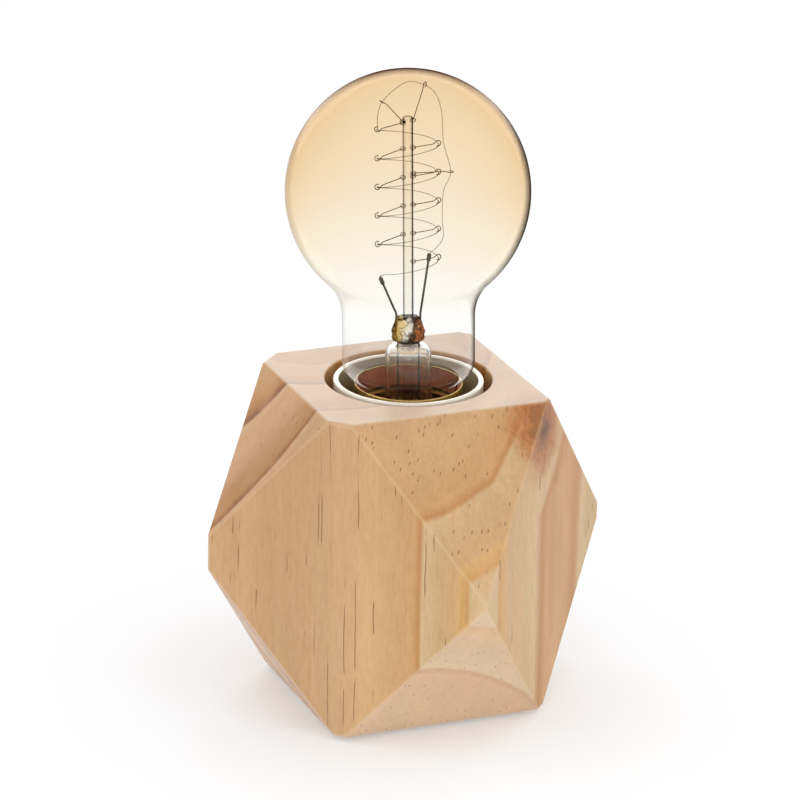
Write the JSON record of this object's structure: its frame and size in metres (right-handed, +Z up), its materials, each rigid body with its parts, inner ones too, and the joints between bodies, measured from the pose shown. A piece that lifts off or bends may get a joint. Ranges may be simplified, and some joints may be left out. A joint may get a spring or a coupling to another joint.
{
  "type": "bare bulb table lamp",
  "caption": "Table lamp: pine block with its corners cut away, a porcelain screw lampholder sunk in its top, and a clear filament bulb with a round head.",
  "frame": {"origin": "on the table surface, under the middle of the block", "axes": "+Z up along the lampholder's axis; -Y is the middle of the flat side seen at the front left of the picture, +Y the side with the cord inlet"},
  "size_m": [0.075, 0.075, 0.1629],
  "materials": {
    "pine": "satin",
    "porcelain": "gloss",
    "white_plastic": "satin",
    "zinc_steel": "satin",
    "foot_rubber": "matte",
    "brass": "satin",
    "brown_sheath": "satin",
    "blue_sheath": "satin",
    "black_glass": "gloss",
    "solder": "satin",
    "cement": "matte",
    "amber_glass": "gloss",
    "clear_glass": "gloss",
    "pinch_glass": "gloss",
    "wire": "satin",
    "dark_wire": "satin"
  },
  "bodies": {
    "lamp_base": {"wood_block": "pine", "cord_bush": "white_plastic", "base_plate": "zinc_steel", "base_plate_screws": "zinc_steel", "feet": "foot_rubber", "holder_bracket": "zinc_steel", "bracket_screws": "zinc_steel", "mounting_nipple": "zinc_steel", "nipple_washer": "zinc_steel", "nipple_lock_washer": "zinc_steel", "nipple_nut": "zinc_steel", "holder_base": "porcelain", "holder_sleeve": "porcelain", "holder_screws": "zinc_steel", "screw_shell": "brass", "shell_rivet": "brass", "contact_foot": "brass", "contact_screw": "zinc_steel", "live_terminal": "brass", "neutral_terminal": "brass", "terminal_screws": "zinc_steel", "live_lead": "brown_sheath", "neutral_lead": "blue_sheath", "connector_body": "white_plastic", "connector_sleeves": "brass", "connector_screws": "zinc_steel", "connector_fixing_screw": "zinc_steel"},
    "contact_leaf": {"centre_contact": "brass"},
    "bulb_tip": {"cap_contact": "brass", "contact_solder": "solder"},
    "bulb": {"bulb_cap": "brass", "cap_insulator": "black_glass", "cap_cement": "cement", "bulb_glass": "amber_glass", "stem_flare": "clear_glass", "exhaust_tube": "clear_glass", "stem_pinch": "pinch_glass", "stem_rod": "clear_glass", "live_cap_wire": "wire", "neutral_cap_wire": "wire", "live_lead_in": "wire", "neutral_lead_in": "wire", "filament_supports": "dark_wire", "filament": "dark_wire"}
  },
  "joints": [
    {"name": "bulb_rise", "type": "slide", "parent": "lamp_base", "child": "bulb_tip", "axis": [0, 0, 1], "range_m": [0, 0.0116]},
    {"name": "bulb_turn", "type": "hinge", "parent": "bulb_tip", "child": "bulb", "pos_m": [0, 0, 0.0829], "axis": [0, 0, 1], "range_deg": [0, 1151]},
    {"name": "contact_flex", "type": "hinge", "parent": "lamp_base", "child": "contact_leaf", "pos_m": [-0.0041, 0, 0.05235], "axis": [0, 1, 0], "range_deg": [0, 4], "stiffness_Nm_per_rad": 1.1}
  ],
  "couplings": [
    {"joint": "bulb_turn", "follows": "bulb_rise", "rad_per_m": 1731.4}
  ]
}
